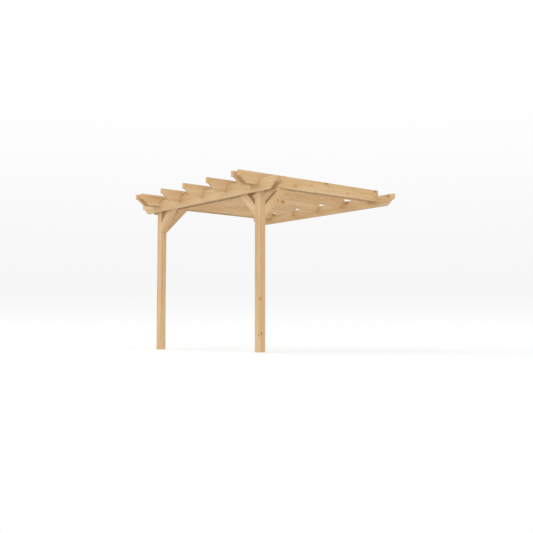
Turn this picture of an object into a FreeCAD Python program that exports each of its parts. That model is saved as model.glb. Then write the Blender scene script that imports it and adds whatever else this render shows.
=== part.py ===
# Lean-to patio cover in planed timber: seven rafters span from a wall plate to a front beam,
# and the beam hangs on the outer faces of two posts with knee braces.
# X runs along the wall, Y points into the wall and Z is up, in millimetres. The origin is on the
# back face of the wall plate, half way up the plate and midway between the two posts.
import FreeCAD
import Part
import Sketcher
import math
import os

# Driving dimensions: alias, value, meaning.
SIZES = [
    ("timber_width", 45, "thickness of beam, plate and rafters"),
    ("timber_depth", 160, "depth of beam, plate and rafters"),
    ("post_side", 100, "side of the square posts"),
    ("post_spacing", 2400, "between the centres of the posts"),
    ("post_line", 2160, "from the wall to the centres of the posts"),
    ("head_room", 2090, "ground to the underside of beam and plate"),
    ("beam_overhang", 415, "beam and plate beyond the centres of the posts"),
    ("rafter_overhang", 415, "rafters beyond the centres of the posts"),
    ("single_rafters", 3, "rafters between the two pairs at the posts"),
    ("seat_depth", 75, "how far each rafter is let down over beam and plate"),
    ("seat_clearance", 0.5, "play beside the beam and the plate in a rafter's seat"),
    ("pair_gap", 84, "between paired rafters: the width of post heads and knee braces"),
    ("head_gap", 10, "post head below the rafters' top edge"),
    ("nose_height", 75, "plumb part of a shaped end"),
    ("ledge_length", 32, "level step behind the nose of a shaped end"),
    ("heel_run", 106, "length of the sloping cut below a shaped end's step"),
    ("brace_depth", 110, "depth of a knee brace, square to its slope"),
    ("brace_drop", 320, "underside of the beam to the foot of a brace's lower edge"),
    ("arris_size", 3, "bevel along the edges of every timber"),
]

# Places that several timbers share, as expressions on the sheet. Heights are from mid-plate.
GROUND = "-(Sizes.head_room + Sizes.timber_depth / 2)"
BEAM_BACK = "(-Sizes.post_line - Sizes.post_side / 2)"
RAFTER_FOOT = "(Sizes.timber_depth / 2 - Sizes.seat_depth)"
PAIR_OFFSET = "(Sizes.pair_gap / 2 + Sizes.timber_width / 2)"

ORIGIN_POINT = (-1, 1)
LINE_START = 1
LINE_END = 2
CLOSE = 0.01


def add_sheet(doc):
    """The sheet of driving dimensions, one aliased cell each."""
    sheet = doc.addObject("Spreadsheet::Sheet", "Sizes")
    for row, (alias, value, meaning) in enumerate(SIZES, start=1):
        sheet.set("A%d" % row, meaning)
        sheet.set("B%d" % row, str(value))
        sheet.setAlias("B%d" % row, alias)
    doc.recompute()
    return sheet


def origin_plane(body, role):
    """One of the body's own origin planes."""
    return next(plane for plane in body.Origin.OriginFeatures if plane.Role == role)


class Outline:
    """A closed outline: named corners joined in order by lines."""

    def __init__(self, body, name, plane):
        self.sketch = body.newObject("Sketcher::SketchObject", name)
        self.sketch.AttachmentSupport = [(origin_plane(body, plane), "")]
        self.sketch.MapMode = "FlatFace"
        self.ends = {}

    def draw(self, corners):
        """Join the corners in order."""
        names = list(corners)
        first = self.sketch.GeometryCount
        for name, after in zip(names, names[1:] + names[:1]):
            start = FreeCAD.Vector(*corners[name], 0)
            stop = FreeCAD.Vector(*corners[after], 0)
            index = self.sketch.addGeometry(Part.LineSegment(start, stop))
            self.level_or_plumb(index, start, stop)
            self.ends[name] = (index, LINE_START)
            if index > first:
                self.join((index - 1, LINE_END), (index, LINE_START))
        self.join((index, LINE_END), self.ends[names[0]])

    def level_or_plumb(self, index, start, stop):
        """Keep a line level or plumb where it is drawn so."""
        if abs(start.y - stop.y) < CLOSE:
            self.sketch.addConstraint(Sketcher.Constraint("Horizontal", index))
        elif abs(start.x - stop.x) < CLOSE:
            self.sketch.addConstraint(Sketcher.Constraint("Vertical", index))

    def join(self, end, start):
        self.sketch.addConstraint(Sketcher.Constraint("Coincident", *end, *start))

    def pin(self, corner):
        """Fix a corner at the sketch's origin."""
        self.join(self.ends[corner], ORIGIN_POINT)

    def plumb_with_origin(self, corner):
        """Fix a corner on the sketch's upright axis."""
        ends = (*self.ends[corner], *ORIGIN_POINT)
        self.sketch.addConstraint(Sketcher.Constraint("Vertical", *ends))

    def level_with_origin(self, corner):
        """Fix a corner on the sketch's level axis."""
        ends = (*self.ends[corner], *ORIGIN_POINT)
        self.sketch.addConstraint(Sketcher.Constraint("Horizontal", *ends))

    def measure(self, way, first, second, expression):
        """Tie the level or plumb distance between two corners to the sheet. None is the origin."""
        start = self.ends[first] if first else ORIGIN_POINT
        stop = self.ends[second] if second else ORIGIN_POINT
        offset = self.sketch.getPoint(*stop) - self.sketch.getPoint(*start)
        length = offset.x if way == "DistanceX" else offset.y
        number = self.sketch.addConstraint(Sketcher.Constraint(way, *start, *stop, length))
        self.sketch.setExpression("Constraints[%d]" % number, expression)

    def across(self, first, second, expression):
        self.measure("DistanceX", first, second, expression)

    def up(self, first, second, expression):
        self.measure("DistanceY", first, second, expression)


def add_body(doc, label, place):
    """A timber's body, placed by expressions for its x, y and z."""
    body = doc.addObject("PartDesign::Body", "Body_" + label)
    body.Label = label
    for axis, expression in place.items():
        body.setExpression("Placement.Base." + axis, expression)
    return body


def pad(doc, body, outline, thickness):
    """Thicken an outline equally to both sides of its plane."""
    feature = body.newObject("PartDesign::Pad", "Timber")
    feature.Profile = outline.sketch
    feature.SideType = "Symmetric"
    feature.setExpression("Length", thickness)
    outline.sketch.Visibility = False
    doc.recompute()
    return feature


def cut_through(doc, body, outline):
    """Saw an outline right through the timber, to both sides of its plane."""
    before = body.Shape.Volume
    feature = body.newObject("PartDesign::Pocket", "Seats")
    feature.Profile = outline.sketch
    feature.SideType = "Symmetric"
    feature.Type = "ThroughAll"
    outline.sketch.Visibility = False
    doc.recompute()
    if body.Shape.Volume > before - 1:
        raise RuntimeError(body.Label + ": the seats cut nothing")
    return feature


def ease(doc, body, base, chosen):
    """Take off the sharp arris along the chosen edges of a timber."""
    edges = base.Shape.Edges
    names = ["Edge%d" % number for number, edge in enumerate(edges, start=1) if chosen(edge)]
    feature = body.newObject("PartDesign::Chamfer", "Arrises")
    feature.Base = (base, names)
    feature.setExpression("Size", "Sizes.arris_size")
    doc.recompute()
    return feature


def on_side_face(half_thickness, axis):
    """Chooses the edges that lie in a timber's two side faces."""

    def chosen(edge):
        box = edge.BoundBox
        low = getattr(box, axis + "Min")
        high = getattr(box, axis + "Max")
        return high - low < CLOSE and abs(abs(low) - half_thickness) < CLOSE

    return chosen


def shaped_end(sheet, tip, sign):
    """Corners of a shaped end, from the top of the nose to the foot of its sloping cut.

    The outline is measured from mid-depth.
    """
    top = sheet.timber_depth / 2
    step = top - sheet.nose_height
    ledge = tip - sign * sheet.ledge_length
    heel = ledge - sign * sheet.heel_run
    return [(tip, top), (tip, step), (ledge, step), (heel, -top)]


def tie_shaped_end(outline, side, sign):
    """Bind a shaped end's nose, ledge and sloping cut to the sheet."""
    nose, step, ledge, heel = [part + side for part in ("top", "step", "ledge", "heel")]
    outline.up(step, nose, "Sizes.nose_height")
    inward = (ledge, step) if sign > 0 else (step, ledge)
    outline.across(*inward, "Sizes.ledge_length")
    inward = (heel, ledge) if sign > 0 else (ledge, heel)
    outline.across(*inward, "Sizes.heel_run")


def add_shaped_board(doc, sheet, label, place):
    """Front beam or wall plate: a board on edge, shaped at both ends."""
    body = add_body(doc, label, place)
    outline = Outline(body, "Side", "XZ_Plane")
    tip = sheet.post_spacing / 2 + sheet.beam_overhang
    right = shaped_end(sheet, tip, 1)
    left = shaped_end(sheet, -tip, -1)
    names = ["top_right", "step_right", "ledge_right", "heel_right"]
    names += ["heel_left", "ledge_left", "step_left", "top_left"]
    outline.draw(dict(zip(names, right + left[::-1])))
    tie_shaped_end(outline, "_right", 1)
    tie_shaped_end(outline, "_left", -1)
    outline.up(None, "top_right", "Sizes.timber_depth / 2")
    outline.up("heel_right", "top_right", "Sizes.timber_depth")
    outline.across(None, "top_right", "Sizes.post_spacing / 2 + Sizes.beam_overhang")
    outline.across("top_left", None, "Sizes.post_spacing / 2 + Sizes.beam_overhang")
    board = pad(doc, body, outline, "Sizes.timber_width")
    ease(doc, body, board, on_side_face(sheet.timber_width / 2, "Y"))
    return body


def add_rafter(doc, sheet, label, across):
    """A rafter on edge, shaped at its nose and let down over the beam and the wall plate."""
    height = RAFTER_FOOT + " + Sizes.timber_depth / 2"
    body = add_body(doc, label, {"x": across, "z": height})
    outline = Outline(body, "Side", "YZ_Plane")
    half = sheet.timber_depth / 2
    front = shaped_end(sheet, -(sheet.post_line + sheet.rafter_overhang), -1)
    names = ["top_front", "step_front", "ledge_front", "heel_front"]
    corners = dict(zip(names, front))
    corners["foot_wall"] = (0, -half)
    corners["top_wall"] = (0, half)
    outline.draw(corners)
    tie_shaped_end(outline, "_front", -1)
    outline.plumb_with_origin("top_wall")
    outline.up(None, "top_wall", "Sizes.timber_depth / 2")
    outline.up("foot_wall", "top_wall", "Sizes.timber_depth")
    outline.across("top_front", "top_wall", "Sizes.post_line + Sizes.rafter_overhang")
    board = pad(doc, body, outline, "Sizes.timber_width")
    ease(doc, body, board, on_side_face(sheet.timber_width / 2, "X"))
    add_seats(doc, sheet, body)
    return body


def add_seats(doc, sheet, body):
    """The notch over the front beam and the rebate over the wall plate."""
    foot = -sheet.timber_depth / 2
    back = -(sheet.post_line + sheet.post_side / 2 - sheet.seat_clearance)
    front = back - sheet.timber_width - 2 * sheet.seat_clearance
    wall = -(sheet.timber_width + sheet.seat_clearance)
    seats = [("beam", front, back, 2), ("plate", wall, 0, 1)]
    outline = Outline(body, "Seats", "YZ_Plane")
    for name, near, far, clearances in seats:
        outline.draw({
            name + "_near_foot": (near, foot),
            name + "_far_foot": (far, foot),
            name + "_far_top": (far, foot + sheet.seat_depth),
            name + "_near_top": (near, foot + sheet.seat_depth),
        })
        width = "Sizes.timber_width + %d * Sizes.seat_clearance" % clearances
        outline.across(name + "_near_foot", name + "_far_foot", width)
        outline.up(name + "_far_foot", name + "_far_top", "Sizes.seat_depth")
        outline.up(name + "_far_foot", None, "Sizes.timber_depth / 2")
    outline.plumb_with_origin("plate_far_foot")
    outline.across("beam_far_foot", None, "-" + BEAM_BACK + " - Sizes.seat_clearance")
    return cut_through(doc, body, outline)


def add_post(doc, sheet, label, across):
    """A square post, narrowed above the rafters' underside to stand between its pair of rafters."""
    body = add_body(doc, label, {"x": across, "y": "-Sizes.post_line", "z": GROUND})
    outline = Outline(body, "Front", "XZ_Plane")
    half = sheet.post_side / 2
    neck = sheet.pair_gap / 2
    shoulder = sheet.head_room + sheet.timber_depth - sheet.seat_depth
    head = shoulder + sheet.timber_depth - sheet.head_gap
    outline.draw({
        "foot_left": (-half, 0),
        "foot_right": (half, 0),
        "shoulder_right": (half, shoulder),
        "neck_right": (neck, shoulder),
        "head_right": (neck, head),
        "head_left": (-neck, head),
        "neck_left": (-neck, shoulder),
        "shoulder_left": (-half, shoulder),
    })
    rise = "Sizes.head_room + Sizes.timber_depth - Sizes.seat_depth"
    outline.level_with_origin("foot_left")
    outline.across("foot_left", None, "Sizes.post_side / 2")
    outline.across("foot_left", "foot_right", "Sizes.post_side")
    outline.across("neck_left", None, "Sizes.pair_gap / 2")
    outline.across("neck_left", "neck_right", "Sizes.pair_gap")
    outline.up("foot_left", "shoulder_left", rise)
    outline.up("foot_right", "shoulder_right", rise)
    outline.up("shoulder_left", "head_left", "Sizes.timber_depth - Sizes.head_gap")
    timber = pad(doc, body, outline, "Sizes.post_side")

    def corner_edge(edge):
        box = edge.BoundBox
        return abs(box.ZLength - shoulder) < CLOSE

    ease(doc, body, timber, corner_edge)
    return body


def add_brace(doc, sheet, label, plane, way, place):
    """A knee brace at 45 degrees: a plumb foot against the post and a level cut at its head.

    way is 1 where the brace rises along its plane's first axis and -1 where it rises against it.
    """
    body = add_body(doc, label, place)
    outline = Outline(body, "Side", plane)
    cut = sheet.brace_depth * math.sqrt(2)
    rise = sheet.brace_drop + sheet.timber_depth
    outline.draw({
        "foot_low": (0, 0),
        "head_far": (way * rise, rise),
        "head_near": (way * (rise - cut), rise),
        "foot_high": (0, cut),
    })
    outline.pin("foot_low")
    outline.up("foot_low", "foot_high", "Sizes.brace_depth * sqrt(2)")
    outline.up("foot_low", "head_far", "Sizes.brace_drop + Sizes.timber_depth")
    ends = ("foot_low", "head_far") if way > 0 else ("head_far", "foot_low")
    outline.across(*ends, "Sizes.brace_drop + Sizes.timber_depth")
    ends = ("head_near", "head_far") if way > 0 else ("head_far", "head_near")
    outline.across(*ends, "Sizes.brace_depth * sqrt(2)")
    timber = pad(doc, body, outline, "Sizes.pair_gap")

    def sloping_edge(edge):
        box = edge.BoundBox
        return box.ZLength > cut + CLOSE and abs(box.XLength + box.YLength - box.ZLength) < CLOSE

    ease(doc, body, timber, sloping_edge)
    return body


def add_frame(doc, sheet):
    """Posts, beam, plate and braces."""
    beam_middle = "(" + BEAM_BACK + " - Sizes.timber_width / 2)"
    bodies = [
        add_shaped_board(doc, sheet, "wall_plate", {"y": "-Sizes.timber_width / 2"}),
        add_shaped_board(doc, sheet, "front_beam", {"y": beam_middle}),
    ]
    foot = "-(Sizes.timber_depth / 2 + Sizes.brace_drop)"
    post_back = "-(Sizes.post_line - Sizes.post_side / 2)"
    for side, sign in (("left", -1), ("right", 1)):
        across = "%d * Sizes.post_spacing / 2" % sign
        inner_face = across + " - %d * Sizes.post_side / 2" % sign
        bodies.append(add_post(doc, sheet, side + "_post", across))
        along_beam = {"x": inner_face, "y": BEAM_BACK + " + Sizes.pair_gap / 2", "z": foot}
        bodies.append(
            add_brace(doc, sheet, side + "_beam_brace", "XZ_Plane", -sign, along_beam)
        )
        to_wall = {"x": across, "y": post_back, "z": foot}
        bodies.append(add_brace(doc, sheet, side + "_rafter_brace", "YZ_Plane", 1, to_wall))
    return bodies


def add_rafters(doc, sheet):
    """A pair of rafters at each post, and single ones evenly spaced between the pairs."""
    outer = "(Sizes.post_spacing / 2 + " + PAIR_OFFSET + ")"
    inner = "(Sizes.post_spacing / 2 - " + PAIR_OFFSET + ")"
    bays = int(sheet.single_rafters) + 1
    places = ["-" + outer]
    for bay in range(bays + 1):
        places.append("%s * %d / %d" % (inner, 2 * bay - bays, bays))
    places.append(outer)
    return [
        add_rafter(doc, sheet, "rafter_%d" % number, across)
        for number, across in enumerate(places, start=1)
    ]


def check(doc, bodies):
    """Stop if anything failed to rebuild or a timber is not one sound solid."""
    failed = [obj.Label for obj in doc.Objects if {"Invalid", "Error"} & set(obj.State)]
    for body in bodies:
        shape = body.Shape
        if shape.isNull() or not shape.isValid() or len(shape.Solids) != 1:
            failed.append(body.Label)
    if failed:
        raise RuntimeError("failed: " + ", ".join(failed))


def export(bodies):
    """Write each timber to a file of its own, named for it."""
    os.makedirs("parts", exist_ok=True)
    for body in bodies:
        body.Shape.exportStep("parts/%s.step" % body.Label)
        print("%-22s %8.1f cm3" % (body.Label, body.Shape.Volume / 1000))


document = FreeCAD.newDocument("PatioCover")
sizes = add_sheet(document)
timbers = add_frame(document, sizes) + add_rafters(document, sizes)
document.recompute()
check(document, timbers)
export(timbers)
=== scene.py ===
import math
import random

import bpy
from mathutils import Euler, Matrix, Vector


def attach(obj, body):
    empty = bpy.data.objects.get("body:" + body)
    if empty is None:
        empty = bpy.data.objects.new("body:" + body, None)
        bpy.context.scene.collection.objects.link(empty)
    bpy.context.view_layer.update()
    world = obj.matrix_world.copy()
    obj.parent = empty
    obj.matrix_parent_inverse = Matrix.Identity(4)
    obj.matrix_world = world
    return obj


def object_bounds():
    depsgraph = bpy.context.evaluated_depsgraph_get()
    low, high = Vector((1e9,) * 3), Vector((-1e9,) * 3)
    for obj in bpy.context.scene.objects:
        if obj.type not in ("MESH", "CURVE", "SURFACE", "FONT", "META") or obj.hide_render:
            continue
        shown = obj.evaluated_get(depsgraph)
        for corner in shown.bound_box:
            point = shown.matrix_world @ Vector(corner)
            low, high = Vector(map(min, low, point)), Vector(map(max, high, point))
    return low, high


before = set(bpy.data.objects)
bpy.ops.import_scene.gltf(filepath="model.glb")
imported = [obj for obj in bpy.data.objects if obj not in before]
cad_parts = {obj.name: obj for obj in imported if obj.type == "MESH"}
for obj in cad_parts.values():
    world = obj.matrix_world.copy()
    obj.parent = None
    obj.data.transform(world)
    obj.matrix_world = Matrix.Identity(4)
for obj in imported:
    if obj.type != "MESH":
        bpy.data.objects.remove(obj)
cad_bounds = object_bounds()
bpy.ops.object.select_all(action="DESELECT")


# The posts: two squared lengths of planed softwood that stand on the ground, each with its head
# narrowed to fit between a pair of rafters. They are sawn with the heart of the tree inside, so
# their faces show straight grain and tight round knots.

# Linear colours of freshly planed softwood: the pale wood of spring, the tan wood beside it, the
# hard line that ends a year, resin-rich streaks, and a knot's middle, rings and bark rim.
PALE_WOOD = (0.745, 0.535, 0.31)
TAN_WOOD = (0.655, 0.445, 0.232)
HEARTWOOD = (0.67, 0.43, 0.215)
YEAR_LINE = (0.57, 0.335, 0.13)
RESIN_STREAK = (0.64, 0.36, 0.13)
FIBRE_SHADE = (0.50, 0.32, 0.15)
KNOT_WOOD = (0.47, 0.25, 0.09)
KNOT_RING = (0.37, 0.19, 0.068)
KNOT_RIM = (0.21, 0.10, 0.036)
PITCH_STAIN = (0.42, 0.20, 0.085)
# A painted highlight, not a colour of the wood: the lighter tone laid along the long arrises, where
# the edges catch the light.
ARRIS_HIGHLIGHT = (0.80, 0.62, 0.40)
SAWN_END = (0.97, 0.94, 0.88)

# How a knot is stretched along the grain, and how far it pushes the year rings aside.
KNOT_STRETCH = 0.5
KNOT_PUSH = 0.011

# How often each marking of the wood changes in a metre, along the grain and twice across it.
CHANGES = {
    "broad": (1.6, 15, 15),
    "cloud": (3.4, 22, 22),
    "streak": (1.5, 60, 60),
    "fibre": (16, 700, 700),
    "waver": (2.6, 9, 9),
    "lean": (0.5, 0, 0),
    # The patchiness of the painted highlight along the arrises, which is not a marking of the wood.
    "ragged": (55, 90, 90),
    "pitch": (9, 80, 80),
    "highlight_breakup": (14, 40, 40),
}

# How strongly each marking covers what is under it.
COVER = {
    "heart": 0.6,
    "cloud": 0.34,
    "streak": 0.62,
    "line": 0.34,
    "fibre": 0.2,
    "halo": 0.62,
    "knot": 0.85,
    "rim": 0.6,
    # How strongly the painted highlight along the arrises covers the wood.
    "arris": 0.4,
}

# Planed wood's sheen, and how deep its markings stand in the face.
SHEEN = 0.32
RELIEF = 0.0005
RELIEF_STRENGTH = 0.55

# Width and depth of the sections of a post and of a board.
POST = (0.1, 0.1)
BOARD = (0.045, 0.16)


class Wire:
    """A socket of a material's nodes. Arithmetic on it adds the Math nodes that do the sum."""

    def __init__(self, socket):
        self.socket = socket
        self.tree = socket.id_data

    def node(self, kind, settings, sockets, output=0):
        """Any other node: its type, its settings, then the values or wires of its sockets."""
        node = self.tree.nodes.new(kind)
        for name, value in settings.items():
            setattr(node, name, value)
        for name, value in sockets.items():
            if isinstance(value, Wire):
                self.tree.links.new(value.socket, node.inputs[name])
            else:
                node.inputs[name].default_value = value
        return Wire(node.outputs[output])

    def __add__(self, other):
        return maths("ADD", self, other)

    __radd__ = __add__

    def __sub__(self, other):
        return maths("SUBTRACT", self, other)

    def __rsub__(self, other):
        return maths("SUBTRACT", other, self)

    def __mul__(self, other):
        return maths("MULTIPLY", self, other)

    __rmul__ = __mul__

    def __truediv__(self, other):
        return maths("DIVIDE", self, other)

    def __rtruediv__(self, other):
        return maths("DIVIDE", other, self)

    def vector(self, operation, other, output="Vector"):
        """Vector Math on this and another vector."""
        settings = {"operation": operation}
        return self.node("ShaderNodeVectorMath", settings, {0: self, 1: other}, output)

    def noise(self, fineness, seed, detail=2.0):
        """Noise from 0 to 1 on this place, with its own fineness along each axis."""
        stretched = self.vector("MULTIPLY", fineness)
        moved = stretched.vector("ADD", (seed, 0.7 * seed, -seed))
        return self.node("ShaderNodeTexNoise", {}, {"Vector": moved, "Scale": 1.0, "Detail": detail})

    def ramp(self, start, stop):
        """0 at start, 1 at stop and a smooth change between, upwards or downwards."""
        rising = start < stop
        sockets = {
            "Value": self,
            "From Min": min(start, stop),
            "From Max": max(start, stop),
            "To Min": 0.0 if rising else 1.0,
            "To Max": 1.0 if rising else 0.0,
        }
        return self.node("ShaderNodeMapRange", {"interpolation_type": "SMOOTHSTEP"}, sockets)

    def mix(self, first, second, blend="MIX"):
        """The colour first where this is 0, and second blended over it where it is 1."""
        mixer = self.node("ShaderNodeMix", {"data_type": "RGBA", "blend_type": blend}, {0: self})
        mixer = mixer.socket.node
        for socket, colour in ((mixer.inputs[6], first), (mixer.inputs[7], second)):
            if isinstance(colour, Wire):
                self.tree.links.new(colour.socket, socket)
            else:
                socket.default_value = (*colour, 1)
        return Wire(mixer.outputs[2])


def maths(operation, *values):
    """A Math node on numbers and wires, at least one of them a wire."""
    wire = next(value for value in values if isinstance(value, Wire))
    return wire.node("ShaderNodeMath", {"operation": operation}, dict(enumerate(values)))


def nearest_knot(place, spots, heart):
    """How many knot radii a point lies from the nearest knot.

    A knot is a branch that runs straight out from the heart of the tree, past the spot where it
    shows on a face. Each spot is that place on the timber and the branch's radius there.
    """
    squeezed = place.vector("MULTIPLY", (KNOT_STRETCH, 1, 1))
    nearest = None
    for spot, radius in spots:
        root = Vector((spot.x * KNOT_STRETCH, *heart))
        branch = (Vector((spot.x * KNOT_STRETCH, spot.y, spot.z)) - root).normalized()
        away = squeezed.vector("SUBTRACT", root)
        reach = maths("MAXIMUM", away.vector("DOT_PRODUCT", branch, "Value"), 0.0)
        middle = away.node("ShaderNodeCombineXYZ", {}, {0: reach, 1: reach, 2: reach})
        middle = middle.vector("MULTIPLY", branch)
        radii = away.vector("DISTANCE", middle, "Value") / radius
        nearest = radii if nearest is None else maths("MINIMUM", nearest, radii)
    ragged = place.noise(CHANGES["ragged"], 3.0) - 0.5
    return nearest * (1 + 0.5 * ragged)


def extent(timber):
    """A timber's lowest and highest corner and its object, for a CAD node or a new piece."""
    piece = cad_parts.get(timber) or bpy.data.objects[timber]
    corners = [Vector(corner) for corner in piece.bound_box]
    low = Vector([min(corner[axis] for corner in corners) for axis in range(3)])
    high = Vector([max(corner[axis] for corner in corners) for axis in range(3)])
    return low, high, piece


def wood_colour(place, year, knot, radius, core, seed):
    """The planed face's colour, with the masks of year lines and fibres that it is made from."""
    step = maths("FRACT", year)
    line = step.ramp(0.25, 0.9) * step.ramp(1.0, 0.93)
    ring = maths("FLOOR", year)
    chance = ring.node("ShaderNodeTexWhiteNoise", {"noise_dimensions": "1D"}, {"W": ring + seed})
    line = line * (0.3 + 0.7 * chance)
    broad = place.noise(CHANGES["broad"], seed + 31, 3.0).ramp(0.34, 0.66)
    cloud = place.noise(CHANGES["cloud"], seed + 37, 3.0).ramp(0.5, 0.76)
    streak = place.noise(CHANGES["streak"], seed + 47).ramp(0.52, 0.78)
    fibre = place.noise(CHANGES["fibre"], seed + 59)
    colour = broad.mix(PALE_WOOD, TAN_WOOD)
    colour = (COVER["heart"] * radius.ramp(core + 0.006, core - 0.006)).mix(colour, HEARTWOOD)
    colour = (COVER["cloud"] * cloud).mix(colour, FIBRE_SHADE)
    colour = (COVER["streak"] * streak).mix(colour, RESIN_STREAK)
    colour = (COVER["line"] * line).mix(colour, YEAR_LINE)
    colour = (COVER["fibre"] * fibre.ramp(0.42, 0.75)).mix(colour, FIBRE_SHADE)
    colour = (COVER["halo"] * knot.ramp(3.2, 0.9)).mix(colour, RESIN_STREAK)
    rings = 0.5 + 0.5 * maths("SINE", 17 * knot)
    middle = COVER["knot"] * knot.ramp(1.15, 0.7)
    colour = middle.mix(colour, rings.mix(KNOT_WOOD, KNOT_RING))
    rim = knot.ramp(0.7, 0.98) * knot.ramp(1.3, 1.02)
    return (COVER["rim"] * rim).mix(colour, KNOT_RIM), line, fibre, rim


def stain(place, spots):
    """How far a point lies inside the nearest of some long soft streaks, from 0 to 1."""
    most = None
    for spot, half_length, half_height in spots:
        shrink = (1 / half_length, 1 / half_height, 1 / half_height)
        away = place.vector("SUBTRACT", spot).vector("MULTIPLY", shrink)
        near = away.vector("LENGTH", (0, 0, 0), "Value").ramp(1.0, 0.2)
        most = near if most is None else maths("MAXIMUM", most, near)
    return most * place.noise(CHANGES["pitch"], 5.0).ramp(0.25, 0.55)


def arris(place, section):
    """1 on the long arrises of a timber of this section and 0 from a few millimetres away, in
    patches: where the painted highlight goes.
    """
    split = place.node("ShaderNodeSeparateXYZ", {}, {0: place}).socket.node
    beside = section[0] / 2 - maths("ABSOLUTE", Wire(split.outputs[1]))
    above = section[1] / 2 - maths("ABSOLUTE", Wire(split.outputs[2]))
    away = maths("SQRT", beside * beside + above * above)
    highlight_breakup = place.noise(CHANGES["highlight_breakup"], 17.0)
    return away.ramp(0.0075, 0.0015) * highlight_breakup.ramp(0.3, 0.6)


def planed_softwood(
    name, node, heading, rise, heart, knots, core=0.055, ring=0.0036, tone=1.0, section=BOARD,
    streaks=(), stained=0.7, pitch=PITCH_STAIN,
):
    """Softwood for one timber, with rings, grain, knots and sawn ends where its log had them.

    heading and rise turn the grain from along the wall to along the timber, in degrees. heart is
    the middle of the tree, as an offset from the middle of the timber in the model's frame.
    section is the timber's width and depth, and streaks are the places of pitch on its faces,
    with stained for how dark they are and pitch for their colour.
    """
    low, high, piece = extent(node)
    middle = (low + high) / 2
    turn = Euler((0, -math.radians(rise), math.radians(heading)))
    back = turn.to_matrix().inverted()
    heart = (back @ Vector(heart))[1:]
    spots = [(back @ (Vector(spot) - middle), radius) for spot, radius in knots]
    seed = float(sum(name.encode()) % 97)

    material = bpy.data.materials.new(name)
    material.use_nodes = True
    tree = material.node_tree
    shader = tree.nodes["Principled BSDF"]
    sight = tree.nodes.new("ShaderNodeTexCoord")
    here = Wire(sight.outputs["Object"])
    laid = {"Vector": here, "Location": middle, "Rotation": turn}
    place = here.node("ShaderNodeMapping", {"vector_type": "TEXTURE"}, laid)
    split = place.node("ShaderNodeSeparateXYZ", {}, {0: place}).socket.node
    sway = 0.05 * (place.noise(CHANGES["lean"], seed, 1.0) - 0.5)
    lift = 0.08 * (place.noise(CHANGES["lean"], seed + 11, 1.0) - 0.5)
    waver = 0.009 * (place.noise(CHANGES["waver"], seed + 23) - 0.5)
    side = Wire(split.outputs[1]) - heart[0] + sway
    deep = Wire(split.outputs[2]) - heart[1] + lift
    radius = maths("SQRT", side * side + deep * deep) + waver
    knot = nearest_knot(place, spots, heart)
    year = (radius + KNOT_PUSH / (1 + 0.7 * knot * knot)) / ring
    colour, line, fibre, rim = wood_colour(place, year, knot, radius, core, seed)
    if streaks:
        marks = [(back @ (Vector(mark) - middle), *reach) for mark, *reach in streaks]
        colour = (stained * stain(place, marks)).mix(colour, pitch)
    # Painted highlight: the long arrises are lightened as if they caught the light, and their
    # roughness is lowered a little.
    highlit_arris = arris(place, section)
    colour = (COVER["arris"] * highlit_arris).mix(colour, ARRIS_HIGHLIGHT)

    grain = turn.to_matrix() @ Vector((1, 0, 0))
    facing = maths("ABSOLUTE", Wire(sight.outputs["Normal"]).vector("DOT_PRODUCT", grain, "Value"))
    sawn = facing.ramp(0.75, 0.95)
    colour = sawn.mix(colour, SAWN_END, "MULTIPLY")
    colour = colour.node("ShaderNodeHueSaturation", {}, {"Color": colour, "Value": tone})
    tree.links.new(colour.socket, shader.inputs["Base Color"])
    rough = 0.58 + 0.16 * fibre - 0.1 * line + 0.15 * sawn - 0.08 * highlit_arris
    tree.links.new(rough.socket, shader.inputs["Roughness"])
    shader.inputs["Specular IOR Level"].default_value = SHEEN
    height = 0.4 * line + 0.35 * fibre - 1.0 * rim
    raised = {"Height": height, "Strength": RELIEF_STRENGTH, "Distance": RELIEF}
    bump = height.node("ShaderNodeBump", {}, raised)
    tree.links.new(bump.socket, shader.inputs["Normal"])
    if not piece.material_slots:
        piece.data.materials.append(material)
    for slot in piece.material_slots:
        slot.material = material


near_post_knots = [
    ((1.25, -2.201, -1.475), 0.007),
    ((1.25, -2.175, -1.926), 0.008),
    ((1.238, -2.21, -1.949), 0.007),
    ((1.17, -2.11, -0.93), 0.008),
]
planed_softwood(
    "post_wood_right", "right_post", 0, 90, (0.012, 0.018, 0), near_post_knots, section=POST,
    tone=0.95, streaks=[((1.25, -2.190, -0.85), 0.75, 0.010)], stained=0.45,
)
far_post_knots = [((-1.25, -2.14, -0.74), 0.009), ((-1.25, -2.17, -1.52), 0.010)]
planed_softwood(
    "post_wood_left", "left_post", 0, 90, (-0.01, 0.02, 0), far_post_knots, section=POST,
    tone=0.97, streaks=[((-1.15, -2.185, -0.96), 0.8, 0.010)], stained=0.45,
)


# The front beam: one board on edge, fixed to the front of both posts, with a nose, a ledge and a
# sloping cut sawn at each end.
beam_knots = [((-0.72, -2.2325, 0.08), 0.010), ((0.31, -2.2325, 0.08), 0.012)]
planed_softwood("beam_wood", "front_beam", 0, 0, (0.3, 0.05, 0.03), beam_knots)


# The rear beam: a second board like the front one, parallel to it behind the posts, so that the
# two clasp the post heads and the beam braces. It is housed over the posts' back faces, and the
# rafters are let down over it as they are over the front beam.
POST_PLACES = (-1.2, 1.2)
POST_BACK = -2.11
REAR_BEAM_FACE = -2.126
REAR_BEAM_BACK = -2.081
BEAM_TIP = 1.615
LEDGE_LENGTH = 0.032
HEEL_RUN = 0.106
STEP_HEIGHT = 0.005
HALF_DEPTH = 0.08
ARRIS = 0.003
PLAY = 0.001
PAST_THE_CUT = 0.01
RAFTER_PLACES = (-1.2645, -1.1355, -0.56775, 0.0, 0.56775, 1.1355, 1.2645)


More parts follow.
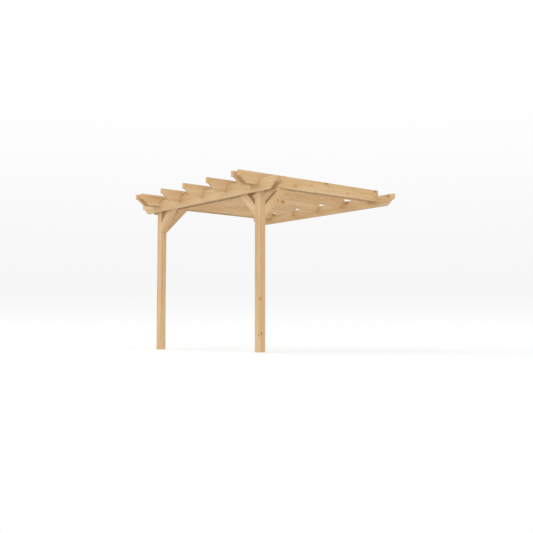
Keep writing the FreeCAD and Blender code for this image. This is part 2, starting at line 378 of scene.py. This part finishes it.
def stray_knots(node, count, largest):
    """Knots at chance places along a timber, each on one of its two broadest faces, taken at chance.
    """
    chance = random.Random(node)
    low, high, piece = extent(node)
    size = high - low
    knots = []
    for number in range(count):
        share = (number + chance.uniform(0.15, 0.85)) / count
        spot = [low[axis] + size[axis] * share for axis in range(3)]
        thin = min(range(3), key=lambda axis: size[axis])
        long = max(range(3), key=lambda axis: size[axis])
        spot[thin] = high[thin] if chance.random() < 0.5 else low[thin]
        for axis in range(3):
            if axis not in (thin, long):
                spot[axis] = low[axis] + size[axis] * chance.uniform(0.12, 0.88)
        knots.append((spot, largest * chance.uniform(0.45, 1.0)))
    return knots


def pick(mode, chosen):
    """In edit mode, selects only the faces or corners whose middle passes the test."""
    bpy.ops.mesh.select_mode(type=mode)
    bpy.ops.mesh.select_all(action="DESELECT")
    bpy.ops.object.mode_set(mode="OBJECT")
    mesh = bpy.context.object.data
    for part in mesh.polygons if mode == "FACE" else mesh.vertices:
        part.select = chosen(part.center if mode == "FACE" else part.co)
    bpy.ops.object.mode_set(mode="EDIT")


def close(value, other):
    """Whether two measures are the same, to a tenth of a millimetre."""
    return abs(value - other) < 1e-4


def block(name, low, high):
    """A box between two corners, with its place in its mesh."""
    middle = (Vector(low) + Vector(high)) / 2
    size = Vector(high) - Vector(low)
    bpy.ops.mesh.primitive_cube_add(size=1, location=middle, scale=size)
    bpy.ops.object.transform_apply(location=True, rotation=True, scale=True)
    bpy.context.object.name = name
    return bpy.context.object


ledge = BEAM_TIP - LEDGE_LENGTH
rear_beam = block(
    "rear_beam", (-ledge, REAR_BEAM_FACE, -HALF_DEPTH), (ledge, REAR_BEAM_BACK, HALF_DEPTH)
)
bpy.ops.object.mode_set(mode="EDIT")
bpy.ops.mesh.select_all(action="SELECT")
bpy.ops.mesh.bisect(plane_co=(0, 0, STEP_HEIGHT), plane_no=(0, 0, 1))
for end in (-1, 1):
    pick("VERT", lambda spot: close(spot.x, end * ledge) and close(spot.z, -HALF_DEPTH))
    bpy.ops.transform.translate(value=(-end * HEEL_RUN, 0, 0))
    pick("FACE", lambda spot: close(spot.x, end * ledge) and spot.z > STEP_HEIGHT)
    bpy.ops.mesh.extrude_region_move(
        TRANSFORM_OT_translate={"value": (end * LEDGE_LENGTH, 0, 0)}
    )
bpy.ops.object.mode_set(mode="OBJECT")

seats = []
for across in RAFTER_PLACES:
    half = BOARD[0] / 2 + PLAY
    low = (across - half, REAR_BEAM_FACE - PAST_THE_CUT, STEP_HEIGHT - PLAY)
    high = (across + half, REAR_BEAM_BACK + PAST_THE_CUT, HALF_DEPTH + PAST_THE_CUT)
    seats.append(block("rafter_seat", low, high))
for across in POST_PLACES:
    half = POST[0] / 2 + PLAY
    low = (across - half, REAR_BEAM_FACE - PAST_THE_CUT, -HALF_DEPTH - PAST_THE_CUT)
    high = (across + half, POST_BACK + PLAY, HALF_DEPTH + PAST_THE_CUT)
    seats.append(block("post_housing", low, high))
for seat in seats:
    cut = rear_beam.modifiers.new("seat", "BOOLEAN")
    cut.operation = "DIFFERENCE"
    cut.solver = "EXACT"
    cut.object = seat
    bpy.context.view_layer.objects.active = rear_beam
    bpy.ops.object.modifier_apply(modifier=cut.name)
for seat in seats:
    bpy.data.objects.remove(seat)
bpy.ops.object.select_all(action="DESELECT")
bpy.context.view_layer.objects.active = rear_beam
rear_beam.select_set(True)
bpy.ops.object.mode_set(mode="EDIT")
bpy.ops.mesh.select_all(action="SELECT")
bpy.ops.mesh.remove_doubles(threshold=1e-5)
bpy.ops.mesh.dissolve_limited(angle_limit=math.radians(1))
bpy.ops.object.mode_set(mode="OBJECT")
bevel = rear_beam.modifiers.new("arrises", "BEVEL")
bevel.width = ARRIS
bevel.segments = 2
bevel.limit_method = "ANGLE"
bpy.ops.object.modifier_apply(modifier=bevel.name)
bpy.ops.object.shade_smooth_by_angle(angle=math.radians(40))
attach(rear_beam, "root")
planed_softwood(
    "rear_beam_wood", "rear_beam", 0, 0, (0.2, -0.04, -0.03), stray_knots("rear_beam", 2, 0.012)
)


# The wall plate: the same board again, fixed flat against the wall to carry the rafters' ends.
PLATE_FACE = -0.045
plate_knots = [
    ((-1.057, PLATE_FACE, 0.06), 0.016),
    ((0.665, PLATE_FACE, 0.060), 0.018),
    ((1.524, PLATE_FACE, 0.064), 0.009),
    ((1.531, PLATE_FACE, 0.034), 0.009),
]
plate_streaks = [
    ((-0.32, PLATE_FACE, 0.015), 0.16, 0.007),
    ((1.5, PLATE_FACE, 0.05), 0.07, 0.016),
    ((-0.93, PLATE_FACE, 0.03), 0.2, 0.01),
]
planed_softwood(
    "plate_wood", "wall_plate", 0, 0, (0, 0.06, -0.02), plate_knots, core=0.09, tone=0.97,
    streaks=plate_streaks,
)


# The rafters: seven boards on edge, one pair at each post and three singles between, let down
# over the beam and the plate. Each is cut from a board of its own.
FRESH_RESIN = (0.60, 0.27, 0.075)
RAFTER_FACE = 1.287
picture_knots = {
    "rafter_7": [
        ((RAFTER_FACE, -1.048, 0.157), 0.014),
        ((RAFTER_FACE, -0.058, 0.148), 0.012),
    ],
    "rafter_4": [((0.0225, -0.768, 0.08), 0.014)],
}
picture_streaks = {
    "rafter_2": [((-1.113, -2.35, 0.129), 0.28, 0.013)],
    "rafter_7": [
        ((RAFTER_FACE, -1.32, 0.098), 0.04, 0.018),
        ((RAFTER_FACE, -1.00, 0.118), 0.04, 0.018),
        ((RAFTER_FACE, -1.621, 0.056), 0.05, 0.040),
        ((RAFTER_FACE, -0.637, 0.052), 0.045, 0.036),
        ((RAFTER_FACE, -0.341, 0.081), 0.03, 0.022),
        ((RAFTER_FACE, -1.90, 0.145), 0.08, 0.030),
    ],
}
for number in range(1, 8):
    rafter = "rafter_%d" % number
    lean = 0.02 * math.sin(2.3 * number)
    knots = picture_knots.get(rafter, stray_knots(rafter, 2, 0.012))
    planed_softwood(
        "rafter_wood_%d" % number, rafter, 90, 0, (-0.05, 0, 0.03 + lean), knots,
        core=0.06 + 0.01 * (number % 3), tone=1.0 - 0.02 * (number % 2),
        streaks=picture_streaks.get(rafter, ()), stained=0.85,
        pitch=FRESH_RESIN if rafter == "rafter_7" else PITCH_STAIN,
    )


# The knee braces: short thick pieces at 45 degrees that stiffen each post along the beam and
# towards the wall.
BRACE = (0.084, 0.11)
for side, heading in (("left", 0), ("right", 180)):
    brace = side + "_beam_brace"
    knots = stray_knots(brace, 1, 0.01)
    planed_softwood(
        "brace_wood_" + side, brace, heading, 45, (0, 0.05, -0.03), knots, section=BRACE
    )
    brace = side + "_rafter_brace"
    knots = stray_knots(brace, 1, 0.01)
    planed_softwood("knee_wood_" + side, brace, 90, 45, (0.05, 0, -0.03), knots, section=BRACE)


# The fixings: zinc plated structural screws with a washer head and a round recess, driven from
# the sides that look away from the view: through the rear beam into each post, down through every
# rafter into the beam and the plate, and through a rafter of each pair into the brace between.
WASHER_RADIUS = 0.0085
WASHER_THICKNESS = 0.0016
HEAD_RADIUS = 0.0055
HEAD_HEIGHT = 0.0022
RECESS_RADIUS = 0.0028
RECESS_DEPTH = 0.0018
RIM_ROUNDING = 0.0004

bpy.ops.object.select_all(action="DESELECT")
bpy.ops.mesh.primitive_cylinder_add(
    vertices=24, radius=WASHER_RADIUS, depth=WASHER_THICKNESS, location=(0, 0, WASHER_THICKNESS / 2)
)
bpy.ops.object.transform_apply(location=True, rotation=True, scale=True)
pattern = bpy.context.object
bpy.ops.object.mode_set(mode="EDIT")
pick("FACE", lambda spot: close(spot.z, WASHER_THICKNESS))
bpy.ops.mesh.inset(thickness=WASHER_RADIUS - HEAD_RADIUS)
bpy.ops.mesh.extrude_region_move(TRANSFORM_OT_translate={"value": (0, 0, HEAD_HEIGHT)})
bpy.ops.mesh.inset(thickness=HEAD_RADIUS - RECESS_RADIUS)
bpy.ops.mesh.extrude_region_move(TRANSFORM_OT_translate={"value": (0, 0, -RECESS_DEPTH)})
bpy.ops.object.mode_set(mode="OBJECT")
rounding = pattern.modifiers.new("rim", "BEVEL")
rounding.width = RIM_ROUNDING
rounding.segments = 2
rounding.limit_method = "ANGLE"
bpy.ops.object.modifier_apply(modifier=rounding.name)
bpy.ops.object.shade_smooth_by_angle(angle=math.radians(35))

OUT_BACK = (math.radians(-90), 0, 0)
OUT_UP = (0, 0, 0)
OUT_LEFT = (0, math.radians(-90), 0)
RAFTER_TOP = 0.165
OVER_SUPPORTS = (-2.2325, -2.1035, -0.0225)
INTO_POST = ((-0.02, 0.045), (0.02, 0.005), (-0.02, -0.015), (0.02, -0.05))
INTO_BEAM_BRACE = ((0.40, 0.0), (0.455, 0.045))
INTO_RAFTER_BRACE = ((-1.765, 0.045), (-1.695, 0.055))
screw_places = []
for across in POST_PLACES:
    inward = -math.copysign(1, across)
    for beside, height in INTO_POST:
        screw_places.append(((across + beside, REAR_BEAM_BACK, height), OUT_BACK))
    for beside, height in INTO_BEAM_BRACE:
        screw_places.append(((across + inward * beside, REAR_BEAM_BACK, height), OUT_BACK))
    for along, height in INTO_RAFTER_BRACE:
        screw_places.append(((across - BRACE[0] / 2 - BOARD[0], along, height), OUT_LEFT))
for across in RAFTER_PLACES:
    for along in OVER_SUPPORTS:
        screw_places.append(((across, along, RAFTER_TOP), OUT_UP))

copies = []
for spot, turn in screw_places:
    bpy.ops.object.select_all(action="DESELECT")
    pattern.select_set(True)
    bpy.context.view_layer.objects.active = pattern
    bpy.ops.object.duplicate(linked=False)
    screw = bpy.context.object
    screw.location = spot
    screw.rotation_euler = turn
    bpy.ops.object.transform_apply(location=True, rotation=True, scale=True)
    copies.append(screw)
bpy.data.objects.remove(pattern)
bpy.ops.object.select_all(action="DESELECT")
for screw in copies:
    screw.select_set(True)
bpy.context.view_layer.objects.active = copies[0]
bpy.ops.object.join()
screws = bpy.context.object
screws.name = "screws"
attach(screws, "root")

DULL_ZINC = (0.56, 0.53, 0.46)
BRIGHT_ZINC = (0.70, 0.68, 0.62)
zinc = bpy.data.materials.new("zinc_plate")
zinc.use_nodes = True
plated = zinc.node_tree.nodes["Principled BSDF"]
plated.inputs["Metallic"].default_value = 0.9
sight = zinc.node_tree.nodes.new("ShaderNodeTexCoord")
spangle = Wire(sight.outputs["Object"]).noise((900, 900, 900), 2.0)
zinc_tone = spangle.ramp(0.35, 0.7).mix(DULL_ZINC, BRIGHT_ZINC)
zinc.node_tree.links.new(zinc_tone.socket, plated.inputs["Base Color"])
zinc_rough = 0.3 + 0.2 * spangle
zinc.node_tree.links.new(zinc_rough.socket, plated.inputs["Roughness"])
screws.data.materials.clear()
screws.data.materials.append(zinc)


# The studio: a plain white floor, an even glow all round, and four broad soft panels: one high on
# the left in front, one low in front on the right, one level on the right and one from below.
GROUND = cad_bounds[0][2]
EVEN_GLOW = 0.12
PANELS = {
    "high_left": ((-0.577, -0.577, 0.577), 1.62),
    "front_right": ((0.707, -0.707, 0), 0.70),
    "right": ((1, 0, 0), 1.18),
    "below": ((0, 0, -1), 0.88),
}
PANEL_RIM = 0.3
HAZE = 0.072
FLOOR_SIZE = 120
FLOOR_WHITE = (0.86, 0.86, 0.86, 1)
FLOOR_GLOW = 0.24

bpy.ops.mesh.primitive_plane_add(size=FLOOR_SIZE, location=(0, 0, GROUND))
floor = bpy.context.object
floor.name = "floor"
floor.visible_diffuse = False
paint = bpy.data.materials.new("floor_paint")
paint.use_nodes = True
matt = paint.node_tree.nodes["Principled BSDF"]
matt.inputs["Base Color"].default_value = FLOOR_WHITE
matt.inputs["Roughness"].default_value = 1.0
matt.inputs["Specular IOR Level"].default_value = 0.0
matt.inputs["Emission Color"].default_value = (1, 1, 1, 1)
matt.inputs["Emission Strength"].default_value = FLOOR_GLOW
floor.data.materials.append(paint)

world = bpy.data.worlds.new("studio")
bpy.context.scene.world = world
world.use_nodes = True
sky = world.node_tree.nodes["Background"]
ways = world.node_tree.nodes.new("ShaderNodeTexCoord")
way = Wire(ways.outputs["Generated"])
glow = EVEN_GLOW
for aim, strength in PANELS.values():
    glow = glow + strength * way.vector("DOT_PRODUCT", aim, "Value").ramp(PANEL_RIM, 1.0)
height = way.vector("DOT_PRODUCT", (0, 0, 1), "Value")
backdrop = 1 - HAZE * height.ramp(0.30, 0.05) * height.ramp(0.0, 0.045)
seen = world.node_tree.nodes.new("ShaderNodeLightPath")
shown = Wire(seen.outputs["Is Camera Ray"])
strength = glow * (1 - shown) + backdrop * shown
world.node_tree.links.new(strength.socket, sky.inputs["Strength"])
sky.inputs["Color"].default_value = (1.0, 1.0, 1.0, 1)

# The camera stands low on the right, looks left and slightly up, and keeps its uprights nearly
# parallel with a long lens.
SENSOR = 36.0
LENS = 56.093
CAMERA_PLACE = (9.6142, -8.9231, -1.9105)
CAMERA_LEFT = 50.7618
CAMERA_UP = 4.53

bpy.ops.object.camera_add(
    location=CAMERA_PLACE,
    rotation=(math.radians(90 + CAMERA_UP), 0, math.radians(CAMERA_LEFT)),
)
camera = bpy.context.object
camera.data.sensor_width = SENSOR
camera.data.lens = LENS
bpy.context.scene.camera = camera
bpy.context.scene.view_settings.view_transform = "Standard"
